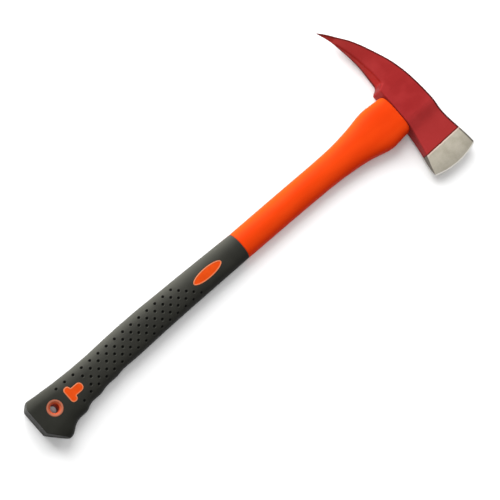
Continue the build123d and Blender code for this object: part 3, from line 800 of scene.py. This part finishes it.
def inlay(name, node, outline, centre, profile, side, rim_wide):
    """A moulded inlay that follows the grip's side. profile is (inwards, up) from its outer edge."""
    loops = []
    for w, h in profile:
        p = offset_loop(outline, w)
        z = surface_z(p[:, 0], p[:, 1], GRIP_EDGE) + h
        loops.append(np.column_stack([p, z]))
    inner = offset_loop(outline, profile[-1][0])
    hc = profile[-1][1]
    for s in (0.88, 0.76, 0.64, 0.52, 0.4, 0.28, 0.16, 0.07):
        p = centre + (inner - centre) * s
        z = surface_z(p[:, 0], p[:, 1], GRIP_EDGE) + hc - 0.10 * (1 - s * s)
        loops.append(np.column_stack([p, z]))
    top = np.array(loops)
    bottom = np.column_stack([outline, np.full(len(outline), 9.27)])
    lower = np.column_stack([outline, top[0][:, 2] - 1.2])
    grid = np.concatenate([bottom[None], lower[None], top])
    rows, cols, _ = grid.shape
    verts = grid.reshape(-1, 3)
    tip = np.array([centre[0], centre[1], float(surface_z(np.array(centre[0]), np.array(centre[1]), GRIP_EDGE)) + hc - 0.10])
    verts = np.vstack([verts, tip])
    faces = tube_faces(rows, cols)
    faces += [(len(verts) - 1, (rows - 1) * cols + j, (rows - 1) * cols + (j + 1) % cols) for j in range(cols)]
    faces.append(tuple(range(cols)))
    verts = verts * np.array([1, 1, side])
    ramp = np.array([0.0, 0.0] + [1.0 if 0.02 < w < rim_wide else 0.0 for w, h in profile] + [0.0] * (rows - 2 - len(profile)))
    rim = np.append(np.repeat(ramp, cols), 0.0)
    return put(name, verts, faces, (node,), "orange_trim", material_trim(), sharp=50.0, marks={"rim": rim, "dull": rim * 0})


def trim():
    oval, tee = oval_outline(220), tee_outline(12)
    rim = [(0.0, -0.30), (0.05, -0.10), (0.16, 0.04), (0.34, 0.13), (0.60, 0.16), (0.95, 0.15), (1.15, 0.08), (1.35, -0.04), (1.60, -0.10), (2.0, -0.11)]
    tee_rim = [(0.0, -0.30), (0.05, -0.08), (0.18, 0.07), (0.40, 0.17), (0.70, 0.20), (1.0, 0.17), (1.3, 0.12), (1.8, 0.10)]
    oval_rim = [(w, h) for w, h in rim if w < 1.7]
    for side, word in ((1, "front"), (-1, "back")):
        inlay(f"oval_inlay_{word}_moulded", f"oval_inlay_{word}", oval, np.array([OVAL_X, OVAL_Y]), oval_rim, side, 1.2)
        inlay(f"t_inlay_{word}_moulded", f"t_inlay_{word}", tee, np.array([T_X0 + 6.0, T_Y]), tee_rim, side, 1.25)
    half = [
        (5.0, 0.0), (5.0, 8.4), (5.0, 11.0), (5.12, 11.5), (5.45, 11.95), (5.95, 12.35), (6.45, 12.70), (6.75, 12.92), (6.92, 13.02),
        (7.02, 13.22), (7.12, 13.52), (7.28, 13.70), (7.55, 13.78), (8.4, 13.80), (8.85, 13.77), (9.08, 13.66), (9.2, 13.48), (9.25, 13.2),
        (9.25, 11.25), (6.68, 11.25), (6.68, 0.0),
    ]
    profile = half + [(r, -z) for r, z in half[::-1][1:-1]]
    revolved("hang_hole_bush_moulded", profile, 128, replaces=("hang_hole_bush",), slot="orange_trim", material=material_trim(), sharp=40.0)


# -------------------------------------------------------------------- jacket
def jacket():
    """Neck and shoulder with rounded ends, the sleeve under the grip and the tenon in the eye, round the core's bore."""
    xs = np.concatenate([
        [303.02, 303.05, 303.11, 303.22, 303.38, 303.6, 303.9],
        np.arange(304.4, 552.0, 1.2),
        [552.4, 552.9, 553.3, 553.7, 554.1, 554.4, 554.65, 554.85, 554.96, 555.0],
    ])
    inset = np.zeros(len(xs))
    inset[:7] = (0.95, 0.66, 0.44, 0.25, 0.11, 0.03, 0.0)
    end = xs > 552.6
    r = 2.1
    inset[end] = r - np.sqrt(np.maximum(r * r - np.clip(xs[end] - (EYE_X0 - r), 0, r) ** 2, 0))
    # the rim's two corners are rounder, seen from the side
    wide, deep = 6.5, 2.6
    corner = deep * (1 - np.sqrt(np.maximum(1 - (np.clip(xs - (EYE_X0 - wide), 0, wide) / wide) ** 2, 0)))
    outer = sections(xs, NECK_EDGE, inset, quarter=36, narrow=corner)
    cols = outer.shape[1]
    # parting line of the mould along both edges, very soft
    for col in (36, 108):
        outer[:, col, 1] += np.sign(outer[:, col, 1]) * 0.05 * smooth((xs - 306) / 4) * smooth((552 - xs) / 4)

    def ring(x, cy, pts_of):
        """A loop at x whose points lie in the same directions as the handle's sections."""
        d = outer[0] - np.array([303.02, 0.4, 0.0])
        a = np.arctan2(d[:, 2], d[:, 1])
        return np.array([[x, *pts_of(t, cy)] for t in a])

    def rect_at(lx, lz, rr):
        def at(t, cy):
            c, s = math.cos(t), math.sin(t)
            hx, hz = lx / 2, lz / 2
            k = min(hx / max(abs(c), 1e-9), hz / max(abs(s), 1e-9))
            y, z = k * c, k * s
            ox, oz = hx - rr, hz - rr
            if abs(y) > ox and abs(z) > oz:
                # on the corner's arc
                lo, hi = 0.0, k
                for _ in range(40):
                    m = 0.5 * (lo + hi)
                    yy, zz = abs(m * c), abs(m * s)
                    inside = math.hypot(max(yy - ox, 0), max(zz - oz, 0)) <= rr
                    lo, hi = (m, hi) if inside else (lo, m)
                y, z = lo * c, lo * s
            return cy + y, z
        return at

    sleeve = rect_at(28.0, 18.5, 6.0)
    bore = rect_at(23.0, 13.0, 4.0)
    tenon = rect_at(36.6, 16.8, 8.39)
    loops = [ring(36.0, 0.5, bore) * 1.0]
    loops[0][:, 1] += -1.0
    loops += [ring(36.0, 0.5, sleeve), ring(36.6, 0.5, sleeve)]
    loops += [ring(x, 0.5, sleeve) for x in (120.0, 210.0, 303.0)]
    loops += list(outer)
    loops += [ring(x, -2.5, tenon) for x in (555.0, 575.0, 595.6, 596.6)]
    loops += [ring(596.6, -0.5, bore), ring(39.0, -0.5, bore)]
    grid = np.array(loops)
    rows = len(grid)
    verts = grid.reshape(-1, 3)
    faces = tube_faces(rows, cols)
    # closed on itself: the bore's start joins the sleeve's end face
    a, b = 0, (rows - 1) * cols
    for j in range(cols):
        k = (j + 1) % cols
        faces.append((b + j, b + k, a + k, a + j))
    o = put("handle_jacket_moulded", verts, faces, replaces=None)
    fix(o, 38.0)
    dress(o, ("handle_jacket",), "orange_jacket", material_jacket())
    return o


# ---------------------------------------------------------------------- head
def head_thickness(x, y):
    """Half thickness of the head before its edges are rounded."""
    x, y = np.asarray(x, float), np.asarray(y, float)
    pick = cubic(PICK_HALF, y)
    blade = cubic([(-r[0], r[1]) for r in BLADE_HALF], -y)
    h = np.where(y > 4, pick, blade)
    h = soft_min(h, np.interp(x, [530.0, 559.0, 594.5, 620.0], [12.3, 14.0, 14.0, 12.6]), 0.25)
    d = EDGE_R - np.hypot(x - EDGE_CX, y - EDGE_CY)
    bit = cubic([(-1.0, 0.02), (0.0, 0.36)] + [tuple(b) for b in BIT_HALF] + [(60.0, 12.0), (80.0, 17.0)], np.clip(d, -1, 80))
    return soft_min(h, bit, 0.5)


LUG_EDGE = [
    (-31.0, 555.0), (0.0, 555.0), (28.0, 555.0), (28.6, 555.03), (29.4, 555.2), (30.2, 555.62), (30.9, 556.3), (31.5, 557.1), (32.0, 557.9),
    (32.7, 559.3), (33.3, 560.4), (34.0, 561.35), (34.9, 562.1), (36.2, 562.75), (38.0, 563.1), (40.0, 563.2),
]


def head_low(y):
    """x of the head's lower outline at y."""
    y = np.asarray(y, float)
    heel = sorted((y0, x0) for x0, y0 in HEEL_EDGE)
    pick = [(y0, x0) for x0, y0 in PICK_EDGE]
    return np.where(y < -31, cubic(heel, y), np.where(y < 40, cubic(LUG_EDGE, y), cubic(pick, y)))


def head_high(y):
    """x of the head's upper outline at y."""
    return cubic(sorted((y0, x0) for x0, y0 in TOP_EDGE), y)


def arc_points(a, b, c, count):
    """Points on the circle through a, b and c, from a to c."""
    a, b, c = (np.array(p, float) for p in (a, b, c))
    m = np.array([b - a, c - a]) * 2
    k = np.array([b @ b - a @ a, c @ c - a @ a])
    o = np.linalg.solve(m, k)
    r = np.linalg.norm(a - o)
    t0, t1 = (math.atan2(*(p - o)[::-1]) for p in (a, c))
    d = (t1 - t0 + math.pi) % (2 * math.pi) - math.pi
    return [tuple(o + r * np.array([math.cos(t0 + d * s), math.sin(t0 + d * s)])) for s in np.linspace(0, 1, count)]


def head():
    # rows across the head: straight over the pick and the eye, then bending to the bit's curve
    ys = np.concatenate([
        128.6 - np.array([0.0, 0.35, 0.8, 1.4]),
        np.arange(126.4, 44.0, -0.9),
        np.arange(44.0, 24.0, -0.35),
        np.arange(24.0, -28.0, -0.8),
        np.arange(-28.0, -57.9, -0.6),
    ])
    rows = [(float(head_low(y)), y, float(head_high(y)), y, 0.0) for y in ys]
    end_low, end_high = (545.2, -89.14), (608.3, -89.3)
    chord = math.hypot(end_high[0] - end_low[0], end_high[1] - end_low[1])
    sag_end = EDGE_R - math.sqrt(EDGE_R**2 - (chord / 2) ** 2)
    for s in np.arange(0.6, 28.3, 0.46):
        yl, yh = -58.0 - s * (28.2 / 28.2), -58.0 - s * (28.0 / 28.2)
        rows.append((float(head_low(yl)), yl, float(head_high(yh)), yh, sag_end * 0.97 * (s / 28.2) ** 1.25))
    heel_c = arc_points((543.3, -86.2), (543.7, -88.02), end_low, 9)[1:]
    toe_c = arc_points((609.6, -86.0), (609.58, -87.9), end_high, 9)[1:]
    for (xl, yl), (xh, yh), k in zip(heel_c, toe_c, np.linspace(0.973, 1.0, 8)):
        rows.append((xl, yl, xh, yh, sag_end * k))
    rows = np.array(rows)

    n_face, n_round, n_side = 84, 5, 8
    g = np.linspace(0, math.pi / 2, n_round + 1)
    loops, arris = [], []
    for i, (xl, yl, xh, yh, sag) in enumerate(rows):
        a, b = np.array([xl, yl]), np.array([xh, yh])
        w = np.linalg.norm(b - a)
        u = (b - a) / w
        nrm = np.array([u[1], -u[0]])
        p, q = rows[max(i - 1, 0)], rows[min(i + 1, len(rows) - 1)]
        lean = []
        for j in (0, 2):
            t = q[j:j + 2] - p[j:j + 2]
            lean.append(max(abs(u[0] * t[1] - u[1] * t[0]) / max(np.linalg.norm(t), 1e-9), 0.5))

        def at(t):
            if sag < 1e-6:
                return a + (b - a) * t[:, None]
            rr = ((w / 2) ** 2 + sag**2) / (2 * sag)
            half = math.asin(min(1.0, w / 2 / rr))
            c = (a + b) / 2 - nrm * (rr - sag)
            ang = -half + 2 * half * t[:, None]
            return c + rr * (nrm * np.cos(ang) + u * np.sin(ang))

        mid = at(np.array([0.0, 0.5, 1.0]))
        hm = head_thickness(mid[:, 0], mid[:, 1])
        ym = 0.5 * (yl + yh)
        r_hi = min(1.4, 0.42 * w, 0.75 * hm[2])
        # a broad soft bevel along the pick's underside
        r_lo = min(1.2 + 1.7 * smooth((ym - 27) / 6) * smooth((122 - ym) / 40), 0.45 * w, 0.75 * hm[0])
        tl, th = min(r_lo / lean[0], 0.45 * w) / w, 1 - min(r_hi / lean[1], 0.45 * w) / w
        t = np.concatenate([tl * (1 - np.cos(g)), np.linspace(tl, th, n_face + 1)[1:-1], 1 - (1 - th) * (1 - np.cos(g[::-1]))])
        drop = np.concatenate([r_lo * (1 - np.sin(g)), np.zeros(n_face - 1), r_hi * (1 - np.sin(g[::-1]))])
        xy = at(t)
        z = np.maximum(head_thickness(xy[:, 0], xy[:, 1]) - drop, 0.04)
        top = np.column_stack([xy, z])
        side_h = np.array([(top[-1, 0], top[-1, 1], z[-1] * s) for s in np.linspace(1, -1, n_side + 1)[1:-1]])
        side_l = np.array([(top[0, 0], top[0, 1], z[0] * s) for s in np.linspace(-1, 1, n_side + 1)[1:-1]])
        loops.append(np.concatenate([top, side_h, top[::-1] * np.array([1, 1, -1]), side_l]))
        # how much of the painted shade line along the outline each point carries
        line = smooth((3.0 - (1 - t) * w * lean[1]) / 0.8) * float(smooth((132 - yh) / 6))
        low = smooth((0.9 - t * w * lean[0]) / 0.6) * float(smooth((yl - 32) / 6))
        arris.append(np.concatenate([
            np.maximum(line, 0.30 * low), [0.5, *[0.0] * (n_side - 3), 0.5], np.maximum(line, 0.95 * low)[::-1],
            0.90 * low[0] * (np.arange(n_side - 1) == 0),
        ]))
    grid = np.array(loops)
    n_rows, cols, _ = grid.shape
    top_n = n_face + 1 + 2 * n_round
    faces = tube_faces(n_rows, cols)
    for base in (0, (n_rows - 1) * cols):
        back = lambda j: base + top_n + (n_side - 1) + (top_n - 1 - j)
        faces += [(base + j, base + j + 1, back(j + 1), back(j)) for j in range(1, top_n - 2)]
        faces.append((base, base + 1, back(1), back(0), *[base + 2 * top_n + n_side - 1 + k for k in range(n_side - 1)]))
        last = top_n - 1
        faces.append((base + last - 1, base + last, *[base + top_n + k for k in range(n_side - 1)], back(last), back(last - 1)))
    o = put("axe_head_forged", grid.reshape(-1, 3), faces, replaces=None)
    # the eye and the recess of the resin dam
    n = 96
    lo, hi = slot_loop(EYE_Y, 19.8, 9.8, n), slot_loop(EYE_Y, 21.2, 10.6, n)
    sides = [(i, (i + 1) % n, n + (i + 1) % n, n + i) for i in range(n)]
    ends = [tuple(range(n))[::-1], tuple(range(n, 2 * n))]
    eye = put("cut_eye", [(553.0, y, z) for y, z in lo] + [(604.0, y, z) for y, z in hi], ends + sides, replaces=None)
    dm = slot_loop(EYE_Y, 22.4, 11.2, n)
    dam = put("cut_dam", [(553.0, y, z) for y, z in dm] + [(557.2, y, z) for y, z in dm], ends + sides, replaces=None)
    cut(o, [eye, dam], sharp=40.0)
    mark(o, "arris", grid.reshape(-1, 3), np.concatenate(arris))
    dress(o, ("axe_head",), "head_paint", material_head())
    return o


# --------------------------------------------------------------------- build
head()
jacket()
rubber()
trim()
for node, make in (("eye_resin", material_resin), ("eye_dam_seal", material_seal), ("handle_core", material_core)):
    nodes[node].data.materials.clear()
    nodes[node].data.materials.append(make())

# --------------------------------------------------------------------- stage
floor_mat = Nodes("studio_floor")
cc = floor_mat.coords()
floor_mat.set(
    Base_Color=floor_mat.mix(floor_mat.remap(floor_mat.noise(cc, 6.0, 3.0), 0.3, 0.7, 0.0, 1.0), (0.88, 0.88, 0.88), (0.90, 0.90, 0.90)),
    Roughness=0.9,
)
me = bpy.data.meshes.new("floor")
size, n = 5.0, 4
pts = [(-size + 2 * size * i / n, -size + 2 * size * j / n, -0.0003) for i in range(n + 1) for j in range(n + 1)]
me.from_pydata(pts, [], [(i * (n + 1) + j, (i + 1) * (n + 1) + j, (i + 1) * (n + 1) + j + 1, i * (n + 1) + j + 1) for i in range(n) for j in range(n)])
floor = bpy.data.objects.new("floor", me)
scene.collection.objects.link(floor)
floor.data.materials.append(floor_mat.mat)

world = bpy.data.worlds.new("world")
scene.world = world
world.use_nodes = True
world.node_tree.nodes["Background"].inputs[0].default_value = (1, 1, 1, 1)
world.node_tree.nodes["Background"].inputs[1].default_value = 0.24


def area(name, loc, target, size, power, color=(1, 1, 1)):
    d = bpy.data.lights.new(name, "AREA")
    d.shape = "DISK"
    d.size = size
    d.energy = power
    d.color = color
    o = bpy.data.objects.new(name, d)
    o.location = loc
    o.rotation_euler = (Vector(target) - Vector(loc)).to_track_quat("-Z", "Y").to_euler()
    o.visible_camera = False
    scene.collection.objects.link(o)
    return o


area("key", (0.25, 1.08, 1.18), (0, 0, 0), 1.7, 37)
area("side", (2.0, 0.1, 1.05), (0, 0, 0), 1.3, 14)
area("rim", (-0.30, 1.55, 0.36), (0, 0, 0), 0.7, 20)
area("fill", (-0.60, -0.10, 1.85), (-0.05, 0, 0), 0.9, 11)

# camera
th = math.radians(19)
ea = Vector((math.cos(th), 0, math.sin(th)))
eb = Vector((0, 1, 0))
right = 0.75325 * ea - 0.65774 * eb
up = 0.65774 * ea + 0.75325 * eb
back = Vector((-math.sin(th), 0, math.cos(th)))
cam = bpy.data.cameras.new("camera")
camera = bpy.data.objects.new("camera", cam)
scene.collection.objects.link(camera)
camera.matrix_world = Matrix((
    (right.x, up.x, back.x, -0.61618),
    (right.y, up.y, back.y, -0.02849),
    (right.z, up.z, back.z, 1.8184),
    (0, 0, 0, 1),
))
cam.sensor_width = 36
cam.lens = 122.4
cam.clip_start = 0.01
scene.camera = camera
scene.view_settings.view_transform = "Standard"
